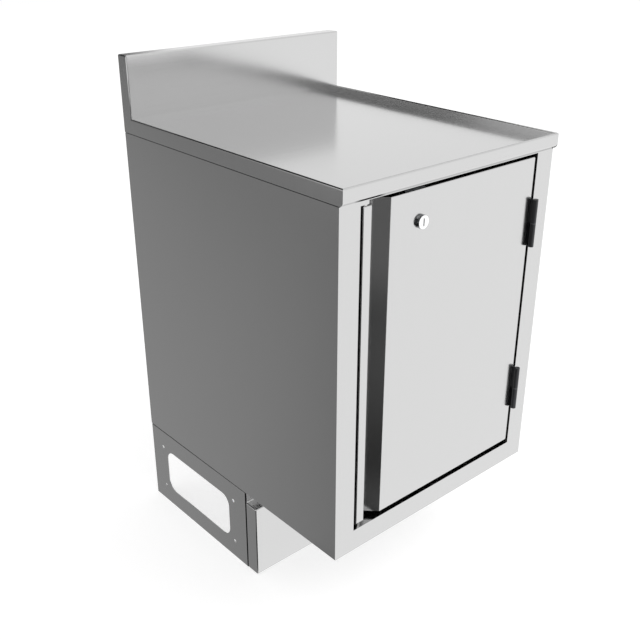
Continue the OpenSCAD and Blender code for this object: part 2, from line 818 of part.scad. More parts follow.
module hinge_backers(x) color(zinc) placed() difference() {
    for (z = [hinge_z_upper, hinge_z_lower])
        slab([x, x + backer_t], [face_y + 2 * sheet, door_y1 - 3 * sheet], [z, z + hinge_h]);
    hinge_screw_places() bar_x([x - 1, screw_y, 0], screw_d / 2 + running_gap, backer_t + 2);
}

module hinge_backers_frame() hinge_backers(open_x1 + sheet);

module hinge_backers_door() hinge_backers(door_x1 - sheet - backer_t);

// Door: an outer skin whose left edge slants back into the pull, a channel, a lip and a liner
module door_plan() {
    polygon([
        [skin_x0, face_y], [door_x1, face_y], [door_x1, door_y1], [slant_x, door_y1], [slant_x, pull_y]
    ]);
}

module skin_wall_plan() {
    k = sheet * sqrt(2);
    polygon([
        [skin_x0, face_y], [door_x1, face_y], [door_x1, door_y1], [door_x1 - sheet, door_y1],
        [door_x1 - sheet, face_y + sheet], [skin_x0 + k - sheet, face_y + sheet],
        [slant_x + k, pull_y], [slant_x, pull_y]
    ]);
}

// The door's face with its two rounded corners, as a block that trims the skin
module door_face_outline() {
    r = door_corner_r;
    plate_xz(face_y - 1, door_t + 2) {
        translate([slant_x - 1, door_z0]) square([door_x1 - slant_x - r + 1, door_z1 - door_z0]);
        translate([slant_x, door_z0 + r]) square([door_x1 - slant_x, door_z1 - door_z0 - 2 * r]);
        for (z = [door_z0 + r, door_z1 - r])
            translate([door_x1 - r, z]) circle(r, $fn = 64);
    }
}

module door_skin() color(steel) placed() difference() {
    intersection() {
        union() {
            translate([0, 0, door_z0]) linear_extrude(door_z1 - door_z0) skin_wall_plan();
            for (z = [door_z0, door_z1 - sheet])
                translate([0, 0, z]) linear_extrude(sheet) door_plan();
        }
        door_face_outline();
    }
    bar_y([lock_x, face_y - 1, lock_z], lock_barrel_r + bolt_gap, sheet + 2);
    hinge_screw_places() bar_x([door_x1 - sheet - 1, screw_y, 0], screw_d / 2 + bolt_gap, sheet + 2);
}

module pull_channel() color(steel) placed() {
    y = [pull_y, pull_y + sheet];
    slab([door_x0, slant_x], y, [pull_z0, pull_z1]);
    slab([door_x0, slant_x + channel_lap], y, [lap_z0, pull_z1]);
    slab([door_x0, door_x0 + sheet], [face_y + lip_t, pull_y + sheet], [pull_z0, pull_z1]);
}

module pull_lip() color(steel) placed() {
    r = lip_t / 2;
    slab([door_x0, lip_x1 - r], [face_y, face_y + lip_t], [pull_z0, pull_z1]);
    bar_z([lip_x1 - r, face_y + r, pull_z0], r, pull_z1 - pull_z0);
}

module door_liner() color(steel) placed() difference() {
    x1 = door_x1 - sheet;
    y = [door_y1 - sheet, door_y1];
    z = [door_z0 + sheet, door_z1 - sheet];
    union() {
        slab([slant_x, x1], y, z);
        slab([door_x0, slant_x], y, [pull_z0, pull_z1]);
        slab([door_x0, x1], y, [lap_z0, pull_z1]);
        for (z0 = [z[0], z[1] - sheet])
            slab([slant_x + channel_lap + 1, x1], [door_y1 - liner_flange, door_y1], [z0, z0 + sheet]);
    }
    bar_y([lock_x, y[0] - 1, lock_z], lock_barrel_r + bolt_gap, sheet + 2);
}

// A vertical Z-shaped stiffener between skin and liner
module door_stiffener() color(steel) placed() {
    x = (lock_x + door_x1) / 2;
    y = [face_y + sheet, door_y1 - sheet];
    z = [door_z0 + 3 * sheet, door_z1 - 3 * sheet];
    slab([x, x + sheet], y, z);
    slab([x, x + stiffener_flange], [y[0], y[0] + sheet], z);
    slab([x - stiffener_flange, x + sheet], [y[1] - sheet, y[1]], z);
}

// Cam lock: a fixed barrel and nut, and a plug that turns with its cam and screw
module lock_barrel() color(chrome) placed() translate([lock_x, 0, lock_z]) difference() {
    union() {
        translate([0, lock_y0 + lock_bevel, 0]) rotate([90, 0, 0])
            cylinder(r1 = lock_head_r, r2 = lock_head_r - lock_bevel, h = lock_bevel, $fn = 64);
        bar_y([0, lock_y0 + lock_bevel, 0], lock_head_r, lock_head_t - lock_bevel);
        bar_y([0, face_y - 0.5, 0], lock_barrel_r, lock_y1 - face_y + 0.5);
    }
    bar_y([0, lock_y0 - 1, 0], lock_plug_r + running_gap, lock_y1 - lock_y0 + 2);
}

module lock_nut() color(zinc) placed() translate([lock_x, 0, lock_z]) difference() {
    translate([0, door_y1, 0]) rotate([-90, 0, 0]) cylinder(d = lock_nut_d, h = lock_nut_t, $fn = 6);
    bar_y([0, door_y1 - 1, 0], lock_barrel_r + running_gap, lock_nut_t + 2);
}

module lock_plug() color(chrome) placed() translate([lock_x, 0, lock_z]) difference() {
    union() {
        bar_y([0, lock_y0, 0], lock_plug_r, cam_y - lock_y0);
        slab([-cam_square / 2, cam_square / 2], [cam_y - 1, cam_y1], [-cam_square / 2, cam_square / 2]);
    }
    slab(
        [-key_slot_w / 2, key_slot_w / 2],
        [lock_y0 - 1, lock_y0 + key_slot_depth],
        [-key_slot_h / 2, key_slot_h / 2]
    );
    bar_y([0, cam_y1 - cam_screw_depth, 0], cam_screw_r + running_gap, cam_screw_depth + 1);
}

module lock_cam() color(zinc) placed() translate([lock_x, 0, lock_z]) difference() {
    half_hole = cam_square / 2 + running_gap;
    union() {
        slab([0, cam_len - cam_w / 2], [cam_y, cam_y1], [-cam_w / 2, cam_w / 2]);
        bar_y([0, cam_y, 0], cam_w / 2, cam_t);
        bar_y([cam_len - cam_w / 2, cam_y, 0], cam_w / 2, cam_t);
    }
    slab([-half_hole, half_hole], [cam_y - 1, cam_y1 + 1], [-half_hole, half_hole]);
}

module cam_screw() color(zinc) placed() translate([lock_x, 0, lock_z]) {
    bar_y([0, cam_y1, 0], cam_screw_head_r, cam_screw_head_t);
    bar_y([0, cam_y1 - cam_screw_depth + 1, 0], cam_screw_r, cam_screw_depth);
}

worktop();
backsplash();
splash_cap_left();
splash_cap_right();
worktop_channel_front();
worktop_channel_rear();
side_panel_left();
side_panel_right();
back_panel();
cabinet_floor();
floor_upstand_left();
floor_upstand_right();
stile_left();
stile_right();
top_rail();
bottom_rail();
shelf_standard_left_front();
shelf_standard_left_rear();
shelf_standard_right_front();
shelf_standard_right_rear();
shelf_clips();
shelf();
base_side_left();
base_side_right();
base_rail_front();
base_rail_rear();
kick_panel();
kick_bracket_left();
kick_bracket_right();
base_bolts();
base_nuts();
kick_screws();
kick_nuts();
lock_strike();
door_bumpers();
hinge_upper_frame_leaf();
hinge_lower_frame_leaf();
hinge_upper_pin();
hinge_lower_pin();
hinge_upper_washer();
hinge_lower_washer();
hinge_screws_frame();
hinge_backers_frame();
door_skin();
pull_channel();
pull_lip();
door_liner();
door_stiffener();
hinge_upper_door_leaf();
hinge_lower_door_leaf();
hinge_screws_door();
hinge_backers_door();
lock_barrel();
lock_nut();
lock_plug();
lock_cam();
cam_screw();
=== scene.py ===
"""Looks for an underbar storage cabinet: brushed stainless sheet, black hinges and a chrome lock."""

import json
import math

import bmesh
import bpy
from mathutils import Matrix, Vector

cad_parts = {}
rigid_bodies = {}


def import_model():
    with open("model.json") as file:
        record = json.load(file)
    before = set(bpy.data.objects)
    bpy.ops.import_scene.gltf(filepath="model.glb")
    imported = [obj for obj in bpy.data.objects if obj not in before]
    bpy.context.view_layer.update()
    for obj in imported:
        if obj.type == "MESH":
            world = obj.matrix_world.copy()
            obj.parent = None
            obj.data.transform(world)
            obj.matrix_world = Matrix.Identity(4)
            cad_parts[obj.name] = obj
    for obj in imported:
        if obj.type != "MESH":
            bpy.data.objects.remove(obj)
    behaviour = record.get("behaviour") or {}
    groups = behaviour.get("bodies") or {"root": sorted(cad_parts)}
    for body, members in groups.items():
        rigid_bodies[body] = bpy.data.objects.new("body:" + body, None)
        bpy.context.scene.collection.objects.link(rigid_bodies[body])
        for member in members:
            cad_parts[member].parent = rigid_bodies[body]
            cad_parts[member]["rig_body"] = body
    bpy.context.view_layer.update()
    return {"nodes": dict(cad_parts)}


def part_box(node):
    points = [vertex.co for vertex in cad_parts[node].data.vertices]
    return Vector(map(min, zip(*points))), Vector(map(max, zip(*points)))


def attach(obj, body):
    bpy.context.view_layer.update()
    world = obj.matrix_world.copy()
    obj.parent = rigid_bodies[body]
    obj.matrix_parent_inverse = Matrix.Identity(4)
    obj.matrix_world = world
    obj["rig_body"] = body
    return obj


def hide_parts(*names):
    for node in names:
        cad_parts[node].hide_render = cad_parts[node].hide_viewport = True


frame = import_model()

MM = 0.001

# Edges: the outside radius of the folds, and the rounding of the edges where the sheet was cut
FOLD_R = 1.7 * MM
WORKTOP_FOLD_R = 2.4 * MM
KICK_FOLD_R = 2.6 * MM
CUT_EDGE_R = 0.5 * MM
FOLD_SEGMENTS = 5
CUT_SEGMENTS = 2
MACHINED_SEGMENTS = 3
# A face narrower than this is the cut edge of a sheet, and a fold lies between two wider ones
CUT_FACE_W = 3.0 * MM
# Least length beside a fold, as a multiple of its radius
FOLD_ROOM = 1.1
# Two faces that meet at more than this have an edge to round
SHEET_EDGE_ANGLE = math.radians(20)
MACHINED_EDGE_ANGLE = math.radians(35)
# Where two faces meet at more than this, the light breaks: a fold's own facets meet at 18 degrees
SHEET_BREAK = math.radians(24)
MACHINED_BREAK = math.radians(40)
# A solid's mesh is merged at gaps under this, and its faces at angles under this
MERGE_GAP = 0.002 * MM
FLAT_ANGLE = math.radians(0.5)


# Colours and shader nodes
def linear(hex_colour):
    """An sRGB hex colour as the four linear numbers that a socket takes."""
    parts = [int(hex_colour[i : i + 2], 16) / 255 for i in (1, 3, 5)]
    return [p / 12.92 if p <= 0.04045 else ((p + 0.055) / 1.055) ** 2.4 for p in parts] + [1.0]


def add(tree, kind, values=None, links=None, **settings):
    """Adds a node with its settings, the values of its sockets and the outputs that feed them."""
    node = tree.nodes.new(kind)
    for name, value in settings.items():
        setattr(node, name, value)
    for socket, value in (values or {}).items():
        node.inputs[socket].default_value = value
    for socket, output in (links or {}).items():
        tree.links.new(output, node.inputs[socket])
    return node


def new_material(name):
    material = bpy.data.materials.new(name)
    material.use_nodes = True
    material.node_tree.nodes.clear()
    return material, material.node_tree


def finish_material(tree, shader):
    add(tree, "ShaderNodeOutputMaterial", links={"Surface": shader.outputs[0]})


# The span that a noise seldom leaves, for the nodes that stretch it
NOISE_SPAN = {"From Min": 0.3, "From Max": 0.7}


def joined(tree, operation, numbers):
    """The numbers joined by one operation, one after the other."""
    result = numbers[0]
    for number in numbers[1:]:
        result = add(tree, "ShaderNodeMath", operation=operation, links={0: result, 1: number}).outputs[0]
    return result


def where_all_hold(tree, tests):
    """1 where every test holds, and 0 elsewhere. A test is a number, its comparison and its limit."""
    held = [
        add(tree, "ShaderNodeMath", operation=comparison, links={0: number}, values={1: limit}).outputs[0]
        for number, comparison, limit in tests
    ]
    return joined(tree, "MULTIPLY", held)


# Painted shade at the seams: beside the slit under the worktop, the joint between body and base
# and the slit behind the kick panel, a dark band is painted into the sheet's colour where shade falls in
# the gaps
SIDE_LOW, SIDE_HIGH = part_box("side_panel_left")
BODY_FOOT_Z, BODY_TOP_Z = SIDE_LOW[2], SIDE_HIGH[2]
SIDE_FACE_X = max(abs(SIDE_LOW[0]), abs(SIDE_HIGH[0]))
BASE_FRONT_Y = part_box("base_side_left")[0][1]
OPENING_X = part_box("bottom_rail")[0][0]
PULL_END_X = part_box("pull_channel")[1][0]
# The colour of the painted shade beside the seams
PAINTED_SEAM_SHADE = "#2e2e2f"
# How far the painted shade reaches inwards from the side's face, and along the sheet from each seam
SEAM_DEPTH = 2.5 * MM
TOP_SEAM = 0.75 * MM
FRONT_SEAM = 0.4 * MM
JOINT_SEAM = 0.8 * MM
KICK_SEAM = 1.4 * MM
# The painted shade of the front seam is darkest over the pull, and fades to these shares on both sides of
# it
SEAM_FADE = 12 * MM
SEAM_BEFORE_PULL = 0.2
SEAM_AFTER_PULL = 0.3


def painted_seam_shade_mask(tree, where):
    """1 beside the seams of the body and the base, where shade is painted, and 0 elsewhere."""
    x, y, z = add(tree, "ShaderNodeSeparateXYZ", links={"Vector": where}).outputs
    off_middle = add(tree, "ShaderNodeMath", operation="ABSOLUTE", links={0: x}).outputs[0]
    on_side = (off_middle, "GREATER_THAN", SIDE_FACE_X - SEAM_DEPTH)
    side_top = where_all_hold(tree, [on_side, (z, "GREATER_THAN", BODY_TOP_Z - TOP_SEAM)])
    coming_in = add(
        tree, "ShaderNodeMapRange", links={"Value": x},
        values={"From Min": OPENING_X - SEAM_FADE, "From Max": OPENING_X, "To Min": SEAM_BEFORE_PULL},
    ).outputs["Result"]
    going_out = add(
        tree, "ShaderNodeMapRange", links={"Value": x},
        values={
            "From Min": PULL_END_X - SEAM_FADE, "From Max": PULL_END_X,
            "To Min": 1.0, "To Max": SEAM_AFTER_PULL,
        },
    ).outputs["Result"]
    over_pull = joined(tree, "MINIMUM", [coming_in, going_out])
    is_top = where_all_hold(tree, [(z, "GREATER_THAN", BODY_TOP_Z - FRONT_SEAM)])
    front_top = joined(tree, "MULTIPLY", [over_pull, is_top])
    base_joint = where_all_hold(
        tree,
        [
            on_side, (y, "GREATER_THAN", BASE_FRONT_Y - FOLD_R),
            (z, "GREATER_THAN", BODY_FOOT_Z - JOINT_SEAM), (z, "LESS_THAN", BODY_FOOT_Z + JOINT_SEAM),
        ],
    )
    kick_slit = where_all_hold(
        tree, [on_side, (y, "LESS_THAN", BASE_FRONT_Y + KICK_SEAM), (z, "LESS_THAN", BODY_FOOT_Z)]
    )
    return joined(tree, "MAXIMUM", [side_top, front_top, base_joint, kick_slit])


# Brushed stainless sheet: cold-rolled, then belt-brushed one way with a fine grit. The eye gets a
# soft mirror whose reflections smear, with faint streaks along the brushing. The real grit is finer
# than a tenth of a millimetre: the streaks are drawn coarser, so that they show.
STREAK_W = 1.6 * MM
STREAK_LENGTH = 110 * MM
STREAK_DEPTH = 0.01 * MM
CLOUD_W = 180 * MM
STEEL_COLOUR = "#cccccc"
STEEL_ROUGHNESS = 0.17
# How much darker the streaks make the steel, and how much rougher or smoother they and the clouds do
STREAK_SHADE = 0.985
STREAK_GLOSS = 0.012
CLOUD_GLOSS = 0.005


def darker(hex_colour, share):
    """A colour with its three parts cut to a share."""
    return [part * share for part in linear(hex_colour)[:3]] + [1.0]


def brushed_stainless(name, grain, paints_seam_shade):
    material, tree = new_material(name)
    where = add(tree, "ShaderNodeTexCoord").outputs["Object"]
    fine, drawn_out = 1 / STREAK_W, 1 / STREAK_LENGTH
    if grain == "upright":
        streak_place = add(
            tree, "ShaderNodeMapping", links={"Vector": where}, values={"Scale": (fine, fine, drawn_out)}
        ).outputs["Vector"]
    else:
        # The sheet was brushed flat, so the streaks follow it round its folds
        flat = add(
            tree, "ShaderNodeMapping", links={"Vector": where},
            values={"Scale": (drawn_out, fine, drawn_out)},
        )
        upright = add(
            tree, "ShaderNodeMapping", links={"Vector": where},
            values={"Scale": (drawn_out, drawn_out, fine)},
        )
        normal = add(tree, "ShaderNodeNewGeometry").outputs["True Normal"]
        facing = add(tree, "ShaderNodeSeparateXYZ", links={"Vector": normal})
        square = add(
            tree, "ShaderNodeMath", operation="POWER", links={0: facing.outputs["Y"]}, values={1: 2.0}
        )
        is_front = add(
            tree, "ShaderNodeMath", operation="GREATER_THAN", links={0: square.outputs[0]}, values={1: 0.5}
        )
        streak_place = add(
            tree, "ShaderNodeMix", data_type="VECTOR",
            links={0: is_front.outputs[0], 4: flat.outputs["Vector"], 5: upright.outputs["Vector"]},
        ).outputs[1]
    streaks = add(
        tree, "ShaderNodeTexNoise", links={"Vector": streak_place},
        values={"Scale": 1.0, "Detail": 3.0, "Roughness": 0.6},
    ).outputs["Fac"]
    clouds = add(
        tree, "ShaderNodeTexNoise", links={"Vector": where},
        values={"Scale": 1 / CLOUD_W, "Detail": 2.0, "Roughness": 0.5},
    ).outputs["Fac"]
    streak_share = add(tree, "ShaderNodeMapRange", links={"Value": streaks}, values=NOISE_SPAN)
    tone = add(
        tree, "ShaderNodeMix", data_type="RGBA", links={0: streak_share.outputs["Result"]},
        values={6: darker(STEEL_COLOUR, STREAK_SHADE), 7: linear(STEEL_COLOUR)},
    )
    # Painted shade: the sheet's colour turns dark beside the seams of the body and the base
    if paints_seam_shade:
        tone = add(
            tree, "ShaderNodeMix", data_type="RGBA", links={0: painted_seam_shade_mask(tree, where), 6: tone.outputs[2]},
            values={7: linear(PAINTED_SEAM_SHADE)},
        )
    streak_gloss = add(
        tree, "ShaderNodeMapRange", links={"Value": streaks},
        values={
            **NOISE_SPAN, "To Min": STEEL_ROUGHNESS - STREAK_GLOSS, "To Max": STEEL_ROUGHNESS + STREAK_GLOSS
        },
    )
    cloud_gloss = add(
        tree, "ShaderNodeMapRange", links={"Value": clouds},
        values={**NOISE_SPAN, "To Min": -CLOUD_GLOSS, "To Max": CLOUD_GLOSS},
    )
    gloss = joined(tree, "ADD", [streak_gloss.outputs["Result"], cloud_gloss.outputs["Result"]])
    bump = add(
        tree, "ShaderNodeBump", links={"Height": streaks},
        values={"Strength": 0.03, "Distance": STREAK_DEPTH},
    )
    steel = add(
        tree, "ShaderNodeBsdfPrincipled", values={"Metallic": 1.0},
        links={"Base Color": tone.outputs[2], "Roughness": gloss, "Normal": bump.outputs["Normal"]},
    )
    finish_material(tree, steel)
    return material


# Speckle of a plated, oxidised, bare or moulded surface. The real one is finer than a tenth of a
# millimetre: it is drawn coarser, so that it shows.
SPECKLE_W = 0.6 * MM
SPECKLE_DEPTH = 0.01 * MM
SPECKLE_SHADE = 0.92
SPECKLE_GLOSS = 0.04


def speckled(name, colour, metallic, roughness):
    """A surface with a fine, even speckle in its gloss and a slight mottle in its colour."""
    material, tree = new_material(name)
    where = add(tree, "ShaderNodeTexCoord").outputs["Object"]
    speckle = add(
        tree, "ShaderNodeTexNoise", links={"Vector": where},
        values={"Scale": 1 / SPECKLE_W, "Detail": 2.0, "Roughness": 0.6},
    ).outputs["Fac"]
    share = add(tree, "ShaderNodeMapRange", links={"Value": speckle}, values=NOISE_SPAN)
    tone = add(
        tree, "ShaderNodeMix", data_type="RGBA", links={0: share.outputs["Result"]},
        values={6: darker(colour, SPECKLE_SHADE), 7: linear(colour)},
    )
    gloss = add(
        tree, "ShaderNodeMapRange", links={"Value": speckle},
        values={**NOISE_SPAN, "To Min": roughness - SPECKLE_GLOSS, "To Max": roughness + SPECKLE_GLOSS},
    )
    bump = add(
        tree, "ShaderNodeBump", links={"Height": speckle},
        values={"Strength": 0.15, "Distance": SPECKLE_DEPTH},
    )
    surface = add(
        tree, "ShaderNodeBsdfPrincipled", values={"Metallic": metallic},
        links={
            "Base Color": tone.outputs[2], "Roughness": gloss.outputs["Result"],
            "Normal": bump.outputs["Normal"],
        },
    )
    finish_material(tree, surface)
    return material


# Chrome plate on the lock, with painted reflections: its colour is painted near white where it faces the
# front, for a bright mirror there, and broken dark and bright on the side, for broken reflections. The
# knurl is drawn coarser than the real 1 mm, so that it shows.
SIDE_GLINT_W = 2.6 * MM
SIDE_GLINT_SPAN = {"From Min": 0.42, "From Max": 0.62}
# A face turned this far to the front counts wholly, and one turned only this far counts for nothing
FULLY_FRONT, HARDLY_FRONT = -0.9, -0.6


def chrome_with_painted_reflections():
    material, tree = new_material("chrome_painted_reflections")
    where = add(tree, "ShaderNodeTexCoord").outputs["Object"]
    normal = add(tree, "ShaderNodeNewGeometry").outputs["Normal"]
    facing = add(tree, "ShaderNodeSeparateXYZ", links={"Vector": normal}).outputs["Y"]
    faced = add(
        tree, "ShaderNodeMapRange", links={"Value": facing},
        values={"From Min": FULLY_FRONT, "From Max": HARDLY_FRONT, "To Min": 1.0, "To Max": 0.0},
    )
    side_glints = add(
        tree, "ShaderNodeTexNoise", links={"Vector": where},
        values={"Scale": 1 / SIDE_GLINT_W, "Detail": 1.0, "Roughness": 0.5},
    ).outputs["Fac"]
    share = add(tree, "ShaderNodeMapRange", links={"Value": side_glints}, values=SIDE_GLINT_SPAN)
    # Painted reflection: the side's colour broken dark and bright
    side = add(
        tree, "ShaderNodeMix", data_type="RGBA", links={0: share.outputs["Result"]},
        values={6: linear("#4a4b4d"), 7: linear("#a9aaac")},
    )
    # Painted reflection: near white where the face turns to the front
    tone = add(
        tree, "ShaderNodeMix", data_type="RGBA", links={0: faced.outputs["Result"], 6: side.outputs[2]},
        values={7: linear("#fcfcfc")},
    )
    plate = add(
        tree, "ShaderNodeBsdfPrincipled", values={"Metallic": 1.0, "Roughness": 0.07},
        links={"Base Color": tone.outputs[2]},
    )
    finish_material(tree, plate)
    return material


chrome_plate = chrome_with_painted_reflections()
steel_across = brushed_stainless("stainless_brushed_across", "across", paints_seam_shade=False)
# The upright sheet of the body and base carries the painted shade at the seams
steel_upright = brushed_stainless("stainless_brushed_upright", "upright", paints_seam_shade=True)
# Black oxide on steel: a thin dark conversion coat, oiled, with a low dull shine
black_steel = speckled("steel_black_oxide", "#3a3b3d", metallic=0.6, roughness=0.34)
# Plain steel of the washers and the strike: left bare, a dull dark grey
plain_steel = speckled("steel_plain_bare", "#75777a", metallic=1.0, roughness=0.42)
# Bright zinc plate: dull silver with a faint blue cast, finely crystalline
zinc_plate = speckled("zinc_plated_steel", "#b9bdc2", metallic=1.0, roughness=0.38)
# Moulded nitrile rubber: black and matt with a faint grain
bumper_rubber = speckled("rubber_moulded", "#1d1d1e", metallic=0.0, roughness=0.75)


# Sheet-metal pieces: copies of the solids with folded and deburred edges
def across_width(face, edge):
    """Width of a face across one of its edges."""
    return face.calc_area() / max(edge.calc_length(), MERGE_GAP)


def merge_flat_faces(shape):
    bmesh.ops.remove_doubles(shape, verts=shape.verts, dist=MERGE_GAP)
    bmesh.ops.dissolve_limit(
        shape, angle_limit=FLAT_ANGLE, verts=shape.verts, edges=shape.edges, delimit={"NORMAL"}
    )


def clean_copy(node_name):
    """The solid's surface as a bmesh, merged and with its flat faces whole."""
    shape = bmesh.new()
    shape.from_mesh(frame["nodes"][node_name].data)
    merge_flat_faces(shape)
    return shape


def round_edges(shape, edges, radius, segments, clamp=True):
    if edges:
        bmesh.ops.bevel(
            shape, geom=edges, offset=radius, offset_type="OFFSET", affect="EDGES", segments=segments,
            profile=0.5, material=-1, clamp_overlap=clamp,
        )


# An edge that leaves another's end straighter than this carries it on, by the cosine between them
CARRIES_ON = -0.9


def room_beside(edge):
    """Length of the shortest edge that a rounding of this edge would run into at its ends."""
    room = math.inf
    for vert in edge.verts:
        along = (edge.other_vert(vert).co - vert.co).normalized()
        for other in vert.link_edges:
            shares_face = any(f in edge.link_faces for f in other.link_faces)
            if other is edge or not shares_face:
                continue
            across = (other.other_vert(vert).co - vert.co).normalized()
            if along.dot(across) > CARRIES_ON:
                room = min(room, other.calc_length())
    return room


def add_piece(name, shape, material, slot_name, light_break, *node_names):
    """Makes the bmesh an object that rides with its body and stands for the solids."""
    mesh = bpy.data.meshes.new(name)
    shape.to_mesh(mesh)
    shape.free()
    mesh.materials.append(material)
    mesh.shade_smooth()
    mesh.set_sharp_from_angle(angle=light_break)
    piece = bpy.data.objects.new(name, mesh)
    bpy.context.scene.collection.objects.link(piece)
    weights = piece.modifiers.new("flat faces stay flat", "WEIGHTED_NORMAL")
    weights.keep_sharp = True
    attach(piece, frame["nodes"][node_names[0]]["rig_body"])
    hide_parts(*node_names)


def welded_shape(node_names):
    """The named sheets as one surface, as flush welds ground smooth leave them."""
    sheets = []
    for node_name in node_names:
        mesh = bpy.data.meshes.new(node_name + "_to_weld")
        shape = clean_copy(node_name)
        shape.to_mesh(mesh)
        shape.free()
        sheet = bpy.data.objects.new(mesh.name, mesh)
        bpy.context.scene.collection.objects.link(sheet)
        sheets.append(sheet)
    for other in sheets[1:]:
        weld = sheets[0].modifiers.new("weld", "BOOLEAN")
        weld.operation = "UNION"
        weld.solver = "EXACT"
        weld.object = other
    welded = bmesh.new()
    welded.from_object(sheets[0], bpy.context.evaluated_depsgraph_get())
    for sheet in sheets:
        bpy.data.meshes.remove(sheet.data)
    merge_flat_faces(welded)
    return welded


def fold_and_deburr(shape, fold_r):
    """Rounds the folds of a sheet-metal shape, and breaks the cut edges that don't end at a fold."""
    folds, cuts = [], []
    for edge in shape.edges:
        if len(edge.link_faces) != 2 or edge.calc_face_angle(0) < SHEET_EDGE_ANGLE or not edge.is_convex:
            continue
        wide = all(across_width(f, edge) > CUT_FACE_W for f in edge.link_faces)
        if wide and room_beside(edge) > FOLD_ROOM * fold_r:
            folds.append(edge)
        else:
            cuts.append(edge)
    round_edges(shape, folds, fold_r, FOLD_SEGMENTS, clamp=False)
    # Rounding a fold makes the cut edges that end at it anew, and those stay sharp
    round_edges(shape, [e for e in cuts if e.is_valid], CUT_EDGE_R, CUT_SEGMENTS)


def sheet_piece(name, material, *node_names, fold_r=FOLD_R):
    shape = welded_shape(node_names) if len(node_names) > 1 else clean_copy(node_names[0])
    fold_and_deburr(shape, fold_r)
    add_piece(name, shape, material, "stainless", SHEET_BREAK, *node_names)


sheet_piece(
    "worktop_and_backsplash", steel_across, "worktop", "backsplash", "splash_cap_left", "splash_cap_right",
    fold_r=WORKTOP_FOLD_R,
)
sheet_piece(
    "body_shell", steel_upright, "side_panel_left", "side_panel_right", "back_panel", "cabinet_floor",
    "floor_upstand_left", "floor_upstand_right", "stile_left", "stile_right", "top_rail", "bottom_rail",
)
sheet_piece("door_shell", steel_upright, "door_skin", "pull_channel", "pull_lip", "door_liner")
sheet_piece("kick_panel_folded", steel_across, "kick_panel", fold_r=KICK_FOLD_R)
ACROSS = ("worktop_channel_front", "worktop_channel_rear", "shelf", "base_rail_front", "base_rail_rear")
UPRIGHT = ("base_side_left", "base_side_right", "kick_bracket_left", "kick_bracket_right", "door_stiffener")
for node_name in ACROSS:
    sheet_piece(node_name + "_folded", steel_across, node_name)
for node_name in UPRIGHT:
    sheet_piece(node_name + "_folded", steel_upright, node_name)


# Small parts: copies with a rounded or broken edge all round
def machined_piece(node_name, material, slot_name, radius):
    shape = clean_copy(node_name)
    joints = [e for e in shape.edges if len(e.link_faces) == 2]
    edges = [e for e in joints if e.calc_face_angle(0) > MACHINED_EDGE_ANGLE]
    round_edges(shape, edges, radius, MACHINED_SEGMENTS)
    add_piece(node_name + "_finished", shape, material, slot_name, MACHINED_BREAK, node_name)


for node_name in (
    "hinge_upper_frame_leaf", "hinge_lower_frame_leaf", "hinge_upper_door_leaf", "hinge_lower_door_leaf"
):
    machined_piece(node_name, black_steel, "black_hinge", radius=0.25 * MM)
for node_name in ("hinge_upper_washer", "hinge_lower_washer"):
    machined_piece(node_name, plain_steel, "bright_washer", radius=0.1 * MM)
machined_piece("lock_barrel", chrome_plate, "chrome", radius=0.25 * MM)
machined_piece("lock_plug", chrome_plate, "chrome", radius=0.2 * MM)
machined_piece("lock_cam", zinc_plate, "zinc", radius=0.25 * MM)
machined_piece("lock_strike", plain_steel, "zinc", radius=0.25 * MM)
machined_piece("door_bumpers", bumper_rubber, "rubber", radius=0.6 * MM)

# The other solids keep their shape and get their finish
for node_name, node_object in frame["nodes"].items():
    if not node_object.hide_render:
        node_object.data.materials.clear()
        node_object.data.materials.append(zinc_plate)


# Floor, world and studio
SKY_LIGHT = 0.7
# How strongly the floor glows for the camera, and how bright it is in the metal
FLOOR_GLOW = 0.62
FLOOR_IN_METAL = 1.17
FLOOR_REACH = 9


def light_path_sees(tree, *kinds):
    """1 for the named kinds of ray, and 0 for the rest."""
    path = add(tree, "ShaderNodeLightPath")
    return joined(tree, "MAXIMUM", [path.outputs[kind] for kind in kinds])


def make_world():
    """White for the camera and in reflections, and a soft even light for the rest."""
    world = bpy.data.worlds.new("studio_surround")
    world.use_nodes = True
    tree = world.node_tree
    tree.nodes.clear()
    seen = light_path_sees(tree, "Is Camera Ray", "Is Glossy Ray", "Is Transmission Ray")
    strength = add(tree, "ShaderNodeMapRange", links={"Value": seen}, values={"To Min": SKY_LIGHT})
    background = add(
        tree, "ShaderNodeBackground", values={"Color": linear("#ffffff")},
        links={"Strength": strength.outputs["Result"]},
    )
    add(tree, "ShaderNodeOutputWorld", links={"Surface": background.outputs[0]})
    bpy.context.scene.world = world


def plane(name, corners, material):
    shape = bmesh.new()
    shape.faces.new([shape.verts.new(c) for c in corners])
    mesh = bpy.data.meshes.new(name)
    shape.to_mesh(mesh)
    shape.free()
    mesh.materials.append(material)
    piece = bpy.data.objects.new(name, mesh)
    bpy.context.scene.collection.objects.link(piece)
    return piece


def floor_material():
    """Pale paper that keeps the shadow, and that metal sees as evenly white."""
    material, tree = new_material("studio_floor")
    paper = add(tree, "ShaderNodeBsdfDiffuse", values={"Color": linear("#d0d0d0"), "Roughness": 0.0})
    glow_strength = add(
        tree, "ShaderNodeMath", operation="MULTIPLY", values={1: FLOOR_GLOW},
        links={0: light_path_sees(tree, "Is Camera Ray", "Is Transmission Ray")},
    )
    glow = add(
        tree, "ShaderNodeEmission", values={"Color": linear("#ffffff")},
        links={"Strength": glow_strength.outputs[0]},
    )
    to_camera = add(tree, "ShaderNodeAddShader", links={0: paper.outputs[0], 1: glow.outputs[0]})
    to_metal = add(
        tree, "ShaderNodeEmission", values={"Color": linear("#ffffff"), "Strength": FLOOR_IN_METAL}
    )
    both = add(
        tree, "ShaderNodeMixShader",
        links={0: light_path_sees(tree, "Is Glossy Ray"), 1: to_camera.outputs[0], 2: to_metal.outputs[0]},
    )
    finish_material(tree, both)
    return material


